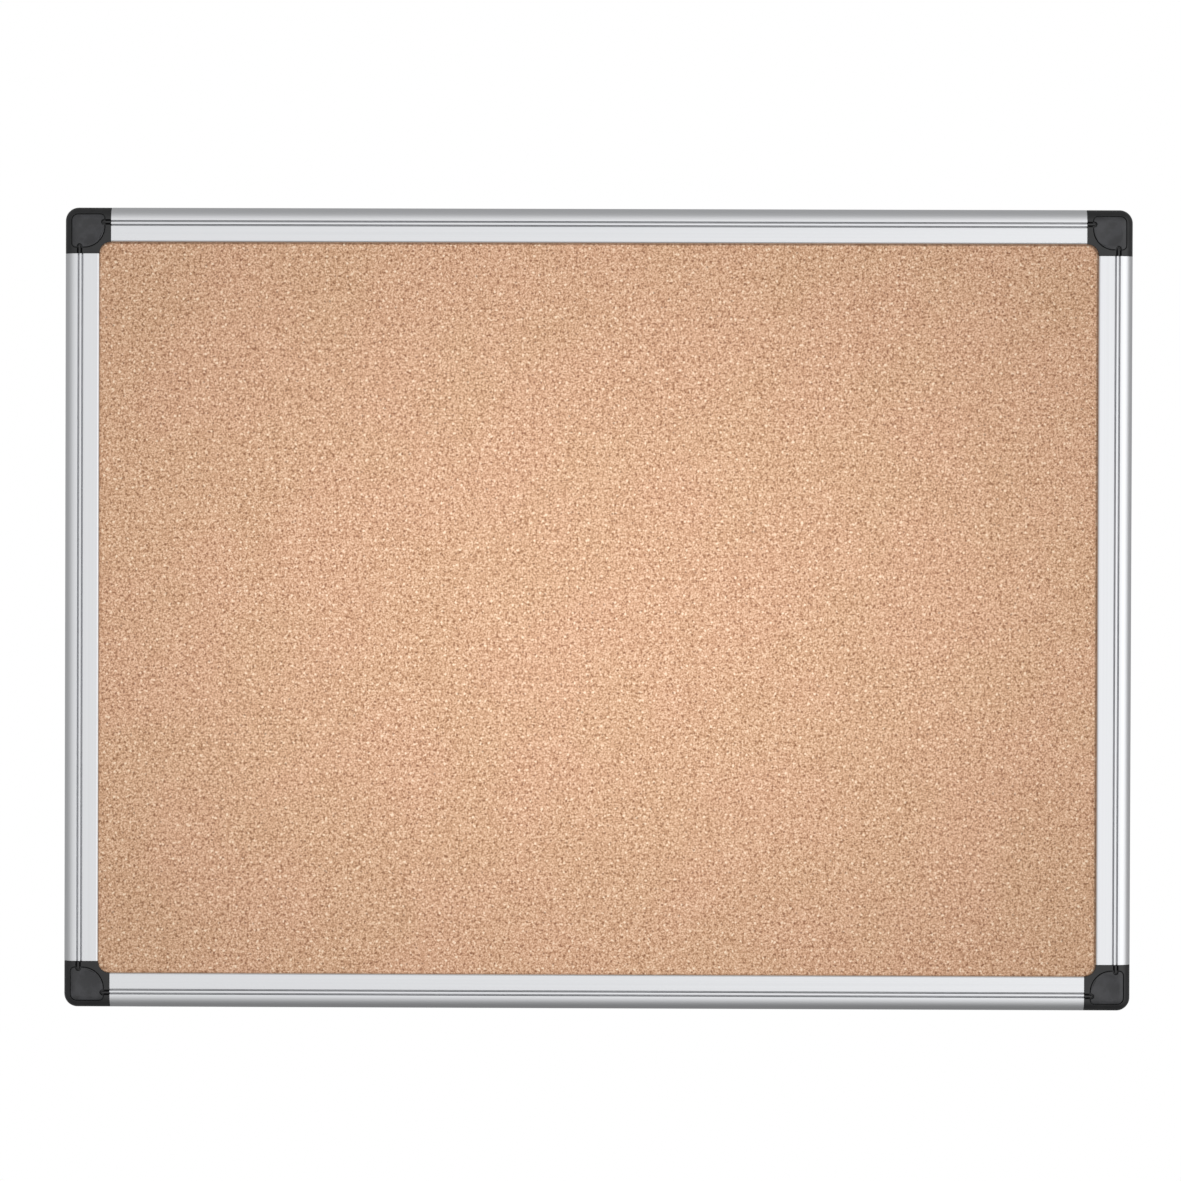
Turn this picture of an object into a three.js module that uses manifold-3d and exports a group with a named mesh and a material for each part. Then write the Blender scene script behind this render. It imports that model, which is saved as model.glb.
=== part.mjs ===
// Wall-hung cork board: a hollow aluminium frame, four moulded corner blocks with snap-in
// screw covers, and a panel of cork on softboard with a kraft backing sheet.
//
// Millimetres, +Z up, the front faces -Y and the back lies on the plane y = 0.
// Outlines are drawn as seen from the front, in (x, z), or across a rail, in (inward, rise).
// "Rise" is the height above the back plane, so a rise of r lies at y = -r.
import * as THREE from 'three';
import { mergeVertices } from 'three/addons/utils/BufferGeometryUtils.js';
import Module from 'manifold-3d';

const wasm = await Module();
wasm.setup();

// Board
const WIDTH = 600;
const HEIGHT = 450;
const DEPTH = 14;
const GAP = 0.3;

// Rail section, measured inward from the outer edge
const RAIL_FACE = 19.6;
const ROUND_WIDE = 7.2;
const ROUND_DEEP = 5;
const RAIL_GROOVES = [7.9, 10.05];
const GROOVE_WIDTH = 0.9;
const GROOVE_DEPTH = 0.7;
const LIP_BEVEL = 1.2;
const LIP_DROP = 0.9;
const WALL = 1.2;
const FLANGE = 1.5;
const CHAMBER_END = 11;
const SLOT_FLOOR = CHAMBER_END + WALL;
const BACK_LIP = 16;

// Corner block, measured inward from both outer edges
const CORNER = 26;
const CORNER_RADIUS = 7.5;
const WINDOW_RADIUS = 6.2;
const CORNER_GROOVES = [7.4, 9.45];
const GROOVE_END = 20.5;
const TONGUE = 20;
const PANEL_CUT = 39.2;
const POCKET_CUT = PANEL_CUT - 2;
const SHELL_WALL = 1.8;
const POCKET_RISE = 8.2;
const RIB = 1.2;

// Screw cover and the wall-screw well under it
const COVER_START = 4.2;
const COVER_END = 22.4;
const COVER_OUTER_RADIUS = 3.3;
const COVER_SIDE_RADIUS = 2.3;
const COVER_ARC_RADIUS = 11.6;
const COVER_THICK = 1.8;
const COVER_LINE = 0.35;
const COVER_SEAT = DEPTH - COVER_THICK - GAP;
const PEG_RADIUS = 1.3;
const PEG_LENGTH = 2.5;
const PEGS = [[18.6, 6.2], [6.2, 18.6], [16, 16]];
const HOLE_INSET = 10;
const HOLE_RADIUS = 2.3;
const WELL_RADIUS = 4.8;
const WELL_FLOOR = 4;
const BOSS_RADIUS = 6.6;

// Frame screws, driven from behind through the rail into the corner's tongue
const SCREW_ALONG = CORNER + TONGUE / 2;
const SCREW_INWARD = 6;
const HEAD_RADIUS = 2.75;
const SHANK_RADIUS = 1.25;
const SCREW_LENGTH = 9.5;
const TIP_LENGTH = 1.2;
const TIP_RADIUS = 0.2;
const PILOT_END = 10.2;
const CROSS_LONG = 3;
const CROSS_WIDE = 0.7;
const CROSS_DEEP = 1;

// Panel: each layer's two faces as rises, filling the slot between the rails' two lips
const PANEL_INSET = SLOT_FLOOR + GAP;
const PANEL_CHAMFER = PANEL_CUT + GAP * Math.SQRT2 - 2 * PANEL_INSET;
const FLANGE_UNDERSIDE = DEPTH - FLANGE;
const CORK_THICK = 2;
const BACKING_THICK = 0.6;
const CORK = [FLANGE_UNDERSIDE - GAP - CORK_THICK, FLANGE_UNDERSIDE - GAP];
const BACKING = [WALL + GAP, WALL + GAP + BACKING_THICK];
const CORE = [BACKING[1] + GAP, CORK[0] - GAP];

// Straight steps in a quarter of a round outline, in the rounded edge and round a hole
const ARC_STEPS = 7;
const EDGE_STEPS = 6;
const HOLE_STEPS = 16;
const HEAD_STEPS = 24;

const finishes = {
  anodised: { color: 0xdadbde, roughness: 0.32, metalness: 0.9 },
  plastic: { color: 0x39393b, roughness: 0.45, metalness: 0 },
  cork: { color: 0xd7ab8a, roughness: 0.9, metalness: 0 },
  softboard: { color: 0xb99b72, roughness: 0.95, metalness: 0 },
  kraft: { color: 0xa98560, roughness: 0.85, metalness: 0 },
  zinc: { color: 0xb9bcc2, roughness: 0.35, metalness: 1 },
};

// ---------------------------------------------------------------- solids

function toSolid(geometry) {
  geometry.deleteAttribute('normal');
  geometry.deleteAttribute('uv');
  const merged = mergeVertices(geometry);
  const index = merged.index.array;
  const triangles = [];
  for (let i = 0; i < index.length; i += 3) {
    const [a, b, c] = [index[i], index[i + 1], index[i + 2]];
    if (a !== b && b !== c && c !== a) {
      triangles.push(a, b, c);
    }
  }
  return new wasm.Manifold(new wasm.Mesh({
    numProp: 3,
    vertProperties: new Float32Array(merged.attributes.position.array),
    triVerts: new Uint32Array(triangles),
  }));
}

function toGeometry(solid) {
  const mesh = solid.getMesh();
  const geometry = new THREE.BufferGeometry();
  geometry.setAttribute('position', new THREE.BufferAttribute(mesh.vertProperties, 3));
  geometry.setIndex(new THREE.BufferAttribute(mesh.triVerts, 1));
  geometry.computeVertexNormals();
  return geometry;
}

// A plate with an outline in (x, z), between two rises above the back plane.
function slab(outline, low, high) {
  const geometry = new THREE.ExtrudeGeometry(outline, {
    depth: high - low, bevelEnabled: false, curveSegments: ARC_STEPS,
  });
  geometry.translate(0, 0, low);
  geometry.rotateX(Math.PI / 2);
  return toSolid(geometry);
}

// A bar along +X with a section in (inward, rise), so inward is +Z.
function bar(section, start, length) {
  const geometry = new THREE.ExtrudeGeometry(section, {
    depth: length, bevelEnabled: false, curveSegments: ARC_STEPS,
  });
  const toBar = new THREE.Matrix4().makeBasis(
    new THREE.Vector3(0, 0, 1), new THREE.Vector3(0, -1, 0), new THREE.Vector3(1, 0, 0),
  );
  geometry.applyMatrix4(toBar);
  geometry.translate(start, 0, 0);
  return toSolid(geometry);
}

// A turned piece on an axis along the rise; the profile lists [radius, rise].
function turned(profile, x, z, segments = HOLE_STEPS) {
  const points = profile.map(([radius, rise]) => new THREE.Vector2(radius, rise));
  const geometry = new THREE.LatheGeometry(points, segments);
  geometry.rotateX(Math.PI);
  geometry.translate(x, 0, z);
  return toSolid(geometry);
}

function disc(radius, low, high, x, z) {
  return turned([[0, low], [radius, low], [radius, high], [0, high]], x, z);
}

function brick(x0, x1, rise0, rise1, z0, z1) {
  const geometry = new THREE.BoxGeometry(x1 - x0, rise1 - rise0, z1 - z0);
  geometry.translate((x0 + x1) / 2, -(rise0 + rise1) / 2, (z0 + z1) / 2);
  return toSolid(geometry);
}

// The same piece seen across the corner's diagonal: swaps x and z.
function acrossDiagonal(solid) {
  return solid.mirror([1, 0, -1]);
}

function piece(name, finish, solid) {
  const mesh = new THREE.Mesh(toGeometry(solid), new THREE.MeshStandardMaterial(finishes[finish]));
  mesh.name = name;
  return mesh;
}

// ---------------------------------------------------------------- outlines

const [grooveLow, grooveHigh] = CORNER_GROOVES;
const grooveMiddle = (grooveLow + grooveHigh) / 2;
const loopOuterHalf = (grooveHigh - grooveLow + GROOVE_WIDTH) / 2;
const loopInnerHalf = (grooveHigh - grooveLow - GROOVE_WIDTH) / 2;

function polygon(points) {
  return new THREE.Shape(points.map(([x, y]) => new THREE.Vector2(x, y)));
}

// Across a rail: rounded outer edge, two face grooves, bevelled lip, slot for the panel.
function railSection() {
  const half = GROOVE_WIDTH / 2;
  const section = new THREE.Shape();
  section.moveTo(0, 0);
  section.lineTo(0, DEPTH - ROUND_DEEP);
  section.absellipse(ROUND_WIDE, DEPTH - ROUND_DEEP, ROUND_WIDE, ROUND_DEEP, Math.PI, Math.PI / 2, true);
  for (const centre of RAIL_GROOVES) {
    section.lineTo(centre - half, DEPTH);
    section.lineTo(centre - half, DEPTH - GROOVE_DEPTH);
    section.lineTo(centre + half, DEPTH - GROOVE_DEPTH);
    section.lineTo(centre + half, DEPTH);
  }
  section.lineTo(RAIL_FACE - LIP_BEVEL, DEPTH);
  section.lineTo(RAIL_FACE, DEPTH - LIP_DROP);
  section.lineTo(RAIL_FACE, FLANGE_UNDERSIDE);
  section.lineTo(SLOT_FLOOR, FLANGE_UNDERSIDE);
  section.lineTo(SLOT_FLOOR, WALL);
  section.lineTo(BACK_LIP, WALL);
  section.lineTo(BACK_LIP, 0);
  section.holes.push(chamberOutline(0));
  return section;
}

// The rail's chamber, or with an inset the tongue that slides into it.
function chamberOutline(inset) {
  const side = WALL + inset;
  const face = FLANGE_UNDERSIDE - inset;
  const outline = new THREE.Shape();
  outline.moveTo(side, side);
  outline.lineTo(CHAMBER_END - inset, side);
  outline.lineTo(CHAMBER_END - inset, face);
  const centre = DEPTH - ROUND_DEEP;
  outline.absellipse(ROUND_WIDE, centre, ROUND_WIDE - side, face - centre, Math.PI / 2, Math.PI, false);
  return outline;
}

function cornerOutline() {
  const far = RAIL_FACE + WINDOW_RADIUS;
  const outline = new THREE.Shape();
  outline.moveTo(CORNER_RADIUS, 0);
  outline.lineTo(CORNER, 0);
  outline.lineTo(CORNER, RAIL_FACE);
  outline.absarc(far, far, WINDOW_RADIUS, -Math.PI / 2, -Math.PI, true);
  outline.lineTo(RAIL_FACE, CORNER);
  outline.lineTo(0, CORNER);
  outline.absarc(CORNER_RADIUS, CORNER_RADIUS, CORNER_RADIUS, Math.PI, Math.PI * 1.5, false);
  return outline;
}

function coverOutline(grow) {
  const low = COVER_START - grow;
  const high = COVER_END + grow;
  const outer = COVER_OUTER_RADIUS + grow;
  const side = COVER_SIDE_RADIUS + grow;
  const arc = COVER_ARC_RADIUS + grow;
  const quarter = Math.PI / 2;
  const outline = new THREE.Shape();
  outline.absarc(low + outer, low + outer, outer, 2 * quarter, 3 * quarter, false);
  outline.absarc(high - side, low + side, side, 3 * quarter, 4 * quarter, false);
  outline.absarc(high - arc, high - arc, arc, 0, quarter, false);
  outline.absarc(low + side, high - side, side, quarter, 2 * quarter, false);
  return outline;
}

// Midway between the corner's two grooves: a bar with a round end that runs out past the joint.
function fingerOutline(end, half) {
  const outline = new THREE.Shape();
  outline.moveTo(CORNER + 1, grooveMiddle - half);
  outline.lineTo(CORNER + 1, grooveMiddle + half);
  outline.absarc(end + half, grooveMiddle, half, Math.PI / 2, Math.PI * 1.5, false);
  return outline;
}

function panelOutline() {
  const x = WIDTH / 2 - PANEL_INSET;
  const z = HEIGHT / 2 - PANEL_INSET;
  const cut = PANEL_CHAMFER;
  return polygon([
    [-x + cut, -z], [x - cut, -z], [x, -z + cut], [x, z - cut],
    [x - cut, z], [-x + cut, z], [-x, z - cut], [-x, -z + cut],
  ]);
}

// ---------------------------------------------------------------- pieces

// The rounded outer edge of the whole frame at one corner, taller and longer than the block.
function crown() {
  const size = 4 * CORNER;
  const r = CORNER_RADIUS;
  const outline = new THREE.Shape();
  outline.absarc(r, r, r, Math.PI, Math.PI * 1.5, false);
  outline.lineTo(size, 0);
  outline.lineTo(size, size);
  outline.lineTo(0, size);
  const straight = DEPTH;
  const geometry = new THREE.ExtrudeGeometry(outline, {
    depth: straight, curveSegments: ARC_STEPS, bevelSegments: EDGE_STEPS,
    bevelThickness: ROUND_DEEP, bevelSize: ROUND_WIDE, bevelOffset: -ROUND_WIDE,
  });
  geometry.translate(0, 0, DEPTH - ROUND_DEEP - straight);
  geometry.rotateX(Math.PI / 2);
  return toSolid(geometry);
}

function tongue() {
  const along = bar(chamberOutline(GAP), CORNER - 1, TONGUE + 1);
  return along.subtract(disc(SHANK_RADIUS + GAP, 0, PILOT_END, SCREW_ALONG, SCREW_INWARD));
}

function coverPegs(radius, low, high) {
  const pegs = PEGS.map(([x, z]) => disc(radius, low, high, x, z));
  return pegs.reduce((all, peg) => all.add(peg));
}

// Open pockets in the back of the block, around the wall-screw boss and its ribs.
function backPockets() {
  const low = SHELL_WALL;
  const high = CORNER - SHELL_WALL;
  const cut = POCKET_CUT - high;
  const outline = new THREE.Shape();
  outline.absarc(CORNER_RADIUS, CORNER_RADIUS, CORNER_RADIUS - low, Math.PI, Math.PI * 1.5, false);
  outline.lineTo(high, low);
  outline.lineTo(high, cut);
  outline.lineTo(cut, high);
  outline.lineTo(low, high);
  const half = RIB / 2;
  const straightRib = brick(HOLE_INSET, CORNER, -1, POCKET_RISE, HOLE_INSET - half, HOLE_INSET + half);
  const diagonal = RIB / Math.SQRT2;
  const diagonalRib = slab(polygon([
    [low - diagonal, low], [low, low - diagonal], [high, high - diagonal], [high - diagonal, high],
  ]), -1, POCKET_RISE);
  return slab(outline, -1, POCKET_RISE)
    .subtract(disc(BOSS_RADIUS, -2, POCKET_RISE + 1, HOLE_INSET, HOLE_INSET))
    .subtract(straightRib)
    .subtract(acrossDiagonal(straightRib))
    .subtract(diagonalRib);
}

function cornerBlock(shell) {
  const fingerShape = fingerOutline(GROOVE_END + GROOVE_WIDTH, loopInnerHalf);
  const finger = slab(fingerShape, COVER_SEAT, DEPTH + 1);
  const loop = slab(fingerOutline(GROOVE_END, loopOuterHalf), DEPTH - GROOVE_DEPTH, DEPTH + 1)
    .subtract(slab(fingerShape, 0, DEPTH + 2));
  const recess = slab(coverOutline(COVER_LINE), COVER_SEAT, DEPTH + 1)
    .subtract(finger)
    .subtract(acrossDiagonal(finger));
  const panelRoom = slab(polygon([
    [CORNER + 1, PANEL_CUT - CORNER - 1], [CORNER + 1, CORNER + 1], [PANEL_CUT - CORNER - 1, CORNER + 1],
  ]), WALL, FLANGE_UNDERSIDE);
  return slab(cornerOutline(), 0, DEPTH)
    .intersect(shell)
    .subtract(panelRoom)
    .subtract(recess)
    .subtract(loop)
    .subtract(acrossDiagonal(loop))
    .subtract(backPockets())
    .subtract(disc(WELL_RADIUS, WELL_FLOOR, DEPTH, HOLE_INSET, HOLE_INSET))
    .subtract(disc(HOLE_RADIUS, -1, DEPTH, HOLE_INSET, HOLE_INSET))
    .subtract(coverPegs(PEG_RADIUS + GAP, COVER_SEAT - PEG_LENGTH, COVER_SEAT + 1))
    .add(tongue())
    .add(acrossDiagonal(tongue()));
}

function screwCover(shell) {
  const underside = DEPTH - COVER_THICK;
  const notch = slab(fingerOutline(GROOVE_END, loopOuterHalf), 0, DEPTH + 1);
  return slab(coverOutline(0), underside, DEPTH)
    .intersect(shell)
    .subtract(notch)
    .subtract(acrossDiagonal(notch))
    .add(coverPegs(PEG_RADIUS, underside - PEG_LENGTH, underside + COVER_THICK / 2));
}

function rail(length) {
  const widest = HEAD_RADIUS + 2 * GAP;
  const deepest = WALL + GAP;
  const sinkAt = (x) => turned([
    [0, -GAP], [widest, -GAP], [widest - deepest - GAP, deepest], [0, deepest],
  ], x, SCREW_INWARD);
  return bar(railSection(), CORNER + GAP, length - 2 * (CORNER + GAP))
    .subtract(sinkAt(SCREW_ALONG))
    .subtract(sinkAt(length - SCREW_ALONG));
}

function frameScrew() {
  const neck = HEAD_RADIUS - SHANK_RADIUS;
  const body = turned([
    [0, 0], [HEAD_RADIUS, 0], [SHANK_RADIUS, neck],
    [SHANK_RADIUS, SCREW_LENGTH - TIP_LENGTH], [TIP_RADIUS, SCREW_LENGTH], [0, SCREW_LENGTH],
  ], 0, 0, HEAD_STEPS);
  const [long, wide] = [CROSS_LONG / 2, CROSS_WIDE / 2];
  return body
    .subtract(brick(-long, long, -1, CROSS_DEEP, -wide, wide))
    .subtract(brick(-wide, wide, -1, CROSS_DEEP, -long, long));
}

// ---------------------------------------------------------------- assembly

const board = new THREE.Group();
board.name = 'cork_board';

board.add(
  piece('cork_sheet', 'cork', slab(panelOutline(), ...CORK)),
  piece('core_board', 'softboard', slab(panelOutline(), ...CORE)),
  piece('backing_sheet', 'kraft', slab(panelOutline(), ...BACKING)),
);

// One side is a rail with the corner before it. Each side starts at the board's outer corner
// and is turned a quarter further than the last, so inward and along always mean the same.
const shell = crown();
const sides = [
  { rail: 'bottom', corner: 'bottom_left', x: -1, z: -1, length: WIDTH },
  { rail: 'right', corner: 'bottom_right', x: 1, z: -1, length: HEIGHT },
  { rail: 'top', corner: 'top_right', x: 1, z: 1, length: WIDTH },
  { rail: 'left', corner: 'top_left', x: -1, z: 1, length: HEIGHT },
];

sides.forEach((side, turn) => {
  const group = new THREE.Group();
  group.position.set(side.x * WIDTH / 2, 0, side.z * HEIGHT / 2);
  group.rotation.y = -turn * Math.PI / 2;
  group.add(
    piece(`rail_${side.rail}`, 'anodised', rail(side.length)),
    piece(`corner_${side.corner}`, 'plastic', cornerBlock(shell)),
    piece(`cover_${side.corner}`, 'plastic', screwCover(shell)),
  );
  const along = piece(`screw_${side.corner}_a`, 'zinc', frameScrew());
  along.position.set(SCREW_ALONG, 0, SCREW_INWARD);
  const across = piece(`screw_${side.corner}_b`, 'zinc', frameScrew());
  across.position.set(SCREW_INWARD, 0, SCREW_ALONG);
  group.add(along, across);
  board.add(group);
});

export default board;
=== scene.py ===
# %% [markdown]
# # A wall-hung cork board
# The board is a cork sheet on softboard, held in the slot of four hollow aluminium rails. Four
# moulded corner blocks join the rails, and a snap-in cover on each block hides its wall screw.
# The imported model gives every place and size, so it is loaded first and nothing is fitted by eye.

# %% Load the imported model
import math

import bmesh
import bpy
from mathutils import Matrix, Vector
from mathutils.geometry import tessellate_polygon


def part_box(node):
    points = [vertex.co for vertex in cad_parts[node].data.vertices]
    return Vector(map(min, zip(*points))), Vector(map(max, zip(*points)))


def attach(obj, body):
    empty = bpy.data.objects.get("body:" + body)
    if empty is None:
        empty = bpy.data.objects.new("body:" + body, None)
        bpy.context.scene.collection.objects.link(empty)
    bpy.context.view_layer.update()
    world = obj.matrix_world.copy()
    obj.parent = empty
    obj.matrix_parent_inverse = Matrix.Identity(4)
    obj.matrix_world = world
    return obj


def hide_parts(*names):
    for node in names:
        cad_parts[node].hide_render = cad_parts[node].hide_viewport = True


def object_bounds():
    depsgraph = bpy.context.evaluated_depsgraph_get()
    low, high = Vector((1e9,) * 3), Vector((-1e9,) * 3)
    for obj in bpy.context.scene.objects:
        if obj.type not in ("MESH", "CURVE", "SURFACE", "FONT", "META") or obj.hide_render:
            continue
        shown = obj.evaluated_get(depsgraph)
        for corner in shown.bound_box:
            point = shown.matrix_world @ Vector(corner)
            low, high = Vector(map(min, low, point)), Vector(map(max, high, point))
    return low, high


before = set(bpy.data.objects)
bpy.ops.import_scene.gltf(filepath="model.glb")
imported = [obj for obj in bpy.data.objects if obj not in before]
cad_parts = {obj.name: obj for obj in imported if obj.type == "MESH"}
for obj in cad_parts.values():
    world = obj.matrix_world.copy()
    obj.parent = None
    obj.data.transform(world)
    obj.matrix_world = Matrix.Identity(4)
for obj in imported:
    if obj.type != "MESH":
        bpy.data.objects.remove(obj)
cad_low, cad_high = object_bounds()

# %% [markdown]
# # Sizes
# A frame shop works in millimetres, so outlines are drawn in millimetres and made metres when a
# piece is put in its place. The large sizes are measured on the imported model. The small ones are
# the radii and steps that only show in the finished piece, and they are named here. Places are
# measured in from the board's outer edges, and rises are heights above its back.

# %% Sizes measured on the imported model
MM = 0.001


def extent(node, axis):
    low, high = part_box(node)
    return (high[axis] - low[axis]) / MM


WIDTH, DEPTH, HEIGHT = (cad_high - cad_low) / MM
RAIL_FACE = extent("rail_bottom", 2)
JOINT_GAP = 0.05
CAD_GAP = 0.3
CORNER = (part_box("rail_bottom")[0].x - cad_low.x) / MM - CAD_GAP
COVER_END = (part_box("cover_bottom_left")[1].x - cad_low.x) / MM
COVER_START = (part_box("cover_bottom_left")[0].x - cad_low.x) / MM
CORK_RISE = [-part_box("cork_sheet")[side].y / MM for side in (1, 0)]
KRAFT_RISE = [-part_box("backing_sheet")[side].y / MM for side in (1, 0)]
PANEL_INSET = (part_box("cork_sheet")[0].x - cad_low.x) / MM
print(f"board {WIDTH:.1f} x {HEIGHT:.1f} x {DEPTH:.1f} mm, rail face {RAIL_FACE:.1f}, corner {CORNER:.1f}")

# %% Sizes of the rail section
ROUND_WIDE = 7.2
ROUND_DEEP = 5.0
RAIL_GROOVES = (7.9, 10.05)
GROOVE_WIDE = 1.05
GROOVE_DEEP = 1.1
GROOVE_FLOOR = 0.07
LIP_WIDE = 1.2
LIP_DEEP = 0.9
WALL = 1.2
FLANGE_UNDERSIDE = DEPTH - 1.5
CHAMBER_END = 11.0
SLOT_FLOOR = CHAMBER_END + WALL
BACK_LIP = 16.0
BACK_ROUND = 0.5

# %% Sizes of the corner block and its cover
CORNER_RADIUS = 7.5
WINDOW_RADIUS = 6.2
CORNER_GROOVES = (7.4, 9.45)
GROOVE_END = 20.5
LOOP_DEEP = 1.3
TONGUE = 20.0
PANEL_CUT = 39.2
SHELL_WALL = 1.8
POCKET_RISE = 8.2
RIB = 1.2
COVER_OUTER_RADIUS = 3.3
COVER_SIDE_RADIUS = 2.3
COVER_ARC_RADIUS = 11.6
COVER_THICK = 1.8
COVER_LINE = 0.5
DISH_RADIUS = 7.6
DISH_DEEP = 0.55
DISH_STEPS = 8
COVER_SEAT = DEPTH - COVER_THICK - CAD_GAP
PEG_RADIUS = 1.3
PEG_LENGTH = 2.5
PEGS = ((18.6, 6.2), (6.2, 18.6), (16.0, 16.0))
HOLE_INSET = 10.0
HOLE_RADIUS = 2.3
WELL_RADIUS = 4.8
WELL_FLOOR = 4.0
BOSS_RADIUS = 6.6

# %% Sizes of the frame screws and their countersinks
SCREW_ALONG = CORNER + TONGUE / 2
SCREW_INWARD = 6.0
HEAD_RADIUS = 2.75
HEAD_SUNK = 0.1
SHANK_RADIUS = 1.25
SCREW_LENGTH = 9.5
SINK_OUT = 0.3

# %% [markdown]
# # Nodes from Python
# Finishes and shapes are both node trees. One small class wraps a socket so that sums read as
# sums, and one method makes every other node, so a tree can be read from top to bottom.


# %% Arithmetic on sockets
class Field:
    """A socket that can be added to, multiplied and so on; each step is one Math node."""

    def __init__(self, graph, socket):
        self.graph = graph
        self.socket = socket

    def math(self, operation, first, second):
        return self.graph.field("ShaderNodeMath", {"operation": operation}, {0: first, 1: second})

    def __add__(self, other):
        return self.math("ADD", self, other)

    def __radd__(self, other):
        return self.math("ADD", other, self)

    def __sub__(self, other):
        return self.math("SUBTRACT", self, other)

    def __rsub__(self, other):
        return self.math("SUBTRACT", other, self)

    def __mul__(self, other):
        return self.math("MULTIPLY", self, other)

    def __rmul__(self, other):
        return self.math("MULTIPLY", other, self)

    def only(self, operation):
        """A step that takes one value, such as ABSOLUTE or SIGN."""
        return self.math(operation, self, 0.0)


class Graph:
    """One node tree, for a finish, for the studio's world or for a shape."""

    def __init__(self, tree):
        self.tree = tree

    def node(self, kind, settings=None, sockets=None):
        made = self.tree.nodes.new(kind)
        for name, value in (settings or {}).items():
            if name == "stops":
                self.set_stops(made.color_ramp, value)
            else:
                setattr(made, name, value)
        for key, value in (sockets or {}).items():
            self.plug(made.inputs[key], value)
        return made

    def field(self, kind, settings=None, sockets=None, output=0):
        return Field(self, self.node(kind, settings, sockets).outputs[output])

    def plug(self, socket, value):
        value = value.socket if isinstance(value, Field) else value
        if isinstance(value, bpy.types.NodeSocket):
            self.tree.links.new(value, socket)
        else:
            socket.default_value = value

    def set_stops(self, ramp, stops):
        while len(ramp.elements) < len(stops):
            ramp.elements.new(1.0)
        for element, (position, colour) in zip(ramp.elements, stops):
            element.position = position
            element.color = colour

    def between(self, value, low, high):
        """0 below low, 1 above high, and a smooth rise from one to the other."""
        sockets = {"Value": value, "From Min": low, "From Max": high}
        return self.field("ShaderNodeMapRange", {"interpolation_type": "SMOOTHSTEP"}, sockets)

    def blend(self, factor, first, second, mode="MIX"):
        settings = {"data_type": "RGBA", "blend_type": mode}
        return self.field("ShaderNodeMix", settings, {0: factor, 6: first, 7: second}, 2)

    def vector(self, operation, first, second, output=0):
        return self.field("ShaderNodeVectorMath", {"operation": operation}, {0: first, 1: second}, output)

    def scaled(self, vector, factor):
        return self.field("ShaderNodeVectorMath", {"operation": "SCALE"}, {0: vector, "Scale": factor})

    def cells(self, where, scale, settings):
        """Voronoi cells: how far a point is from its cell's middle, and three numbers of the cell's own."""
        made = self.node("ShaderNodeTexVoronoi", settings, {"Vector": where, "Scale": scale})
        return Field(self, made.outputs["Distance"]), self.parts(Field(self, made.outputs["Color"]))

    def noise(self, where, scale, detail=2.0, roughness=0.5):
        sockets = {"Vector": where, "Scale": scale, "Detail": detail, "Roughness": roughness}
        return self.field("ShaderNodeTexNoise", {}, sockets)

    def parts(self, vector):
        split = self.node("ShaderNodeSeparateXYZ", {}, {0: vector})
        return [Field(self, output) for output in split.outputs]


# %% A finish is a Principled surface with its own nodes
def new_finish(name):
    material = bpy.data.materials.new(name)
    material.use_nodes = True
    material.node_tree.nodes.clear()
    return material, Graph(material.node_tree)


def set_surface(graph, sockets):
    shader = graph.field("ShaderNodeBsdfPrincipled", {}, sockets)
    graph.node("ShaderNodeOutputMaterial", {}, {"Surface": shader})


def object_place(graph):
    return graph.field("ShaderNodeTexCoord", {}, {}, "Object")


def bump(graph, height, strength, distance):
    sockets = {"Height": height, "Strength": strength, "Distance": distance}
    return graph.field("ShaderNodeBump", {}, sockets)


# %% [markdown]
# # Cork
# The pinning face is ground cork pressed into a sheet: light peach granules a millimetre or two
# across, darker ones between them, thin dark joints and a few specks of bark. Voronoi cells give
# each granule one tone of its own, which plain noise cannot, and slow noise shifts the sheet from
# a pink to a straw hue every few centimetres, as the pressed blocks do. Along the frame's window
# a thin dark band is painted into the cork's colour, as painted shadow under the rails' lip.


# %% Cork finish
GRANULE = 0.0018
CRUMB = 0.0011
UNEVEN = 0.0008
PALE_FLECKS = {"spacing": 0.0050, "size": 0.0009, "share": 0.6}
BARK_FLECKS = {"spacing": 0.0046, "size": 0.0009, "share": 0.55}
# Painted shadow along the rails: how far the band reaches from the window's edge, in metres.
RAIL_SHADOW_BAND = (-0.0009, -0.0002)
BARK = (0.230, 0.098, 0.048, 1.0)
# The dark brown of that painted shadow.
RAIL_SHADOW_BROWN = (0.135, 0.075, 0.045, 1.0)
PINK = (0.86, 0.40, 0.28, 1.0)
STRAW = (0.62, 0.42, 0.17, 1.0)
CORK_TONES = (
    (0.16, (0.250, 0.118, 0.060, 1.0)),
    (0.34, (0.432, 0.232, 0.132, 1.0)),
    (0.50, (0.640, 0.384, 0.243, 1.0)),
    (0.66, (0.820, 0.560, 0.385, 1.0)),
    (0.84, (0.930, 0.740, 0.555, 1.0)),
)


def face_cells(graph, face, size):
    return graph.cells(face, 1.0 / size, {"feature": "F1", "voronoi_dimensions": "2D"})


def flecks(graph, face, spacing, size, share):
    """A mask of separate specks: one in each cell of that spacing, in that share of the cells."""
    away, own = face_cells(graph, face, spacing)
    reach = size / spacing
    inside = 1.0 - graph.between(away, 0.35 * reach, reach)
    return inside * graph.between(own[1], 1.0 - share, 1.06 - share)


def window_margin(graph, face):
    """How far a point is outside the frame's rounded window, in metres; less than 0 is inside."""
    round_by = WINDOW_RADIUS * MM
    reach = [(size / 2 - RAIL_FACE) * MM - round_by for size in (WIDTH, HEIGHT)]
    folded = graph.vector("ABSOLUTE", face, (0.0, 0.0, 0.0))
    past = graph.vector("SUBTRACT", folded, (reach[0], reach[1], 0.0))
    corner = graph.vector("MAXIMUM", past, (0.0, 0.0, 0.0))
    return graph.vector("LENGTH", corner, (0.0, 0.0, 0.0), "Value") - round_by


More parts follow.
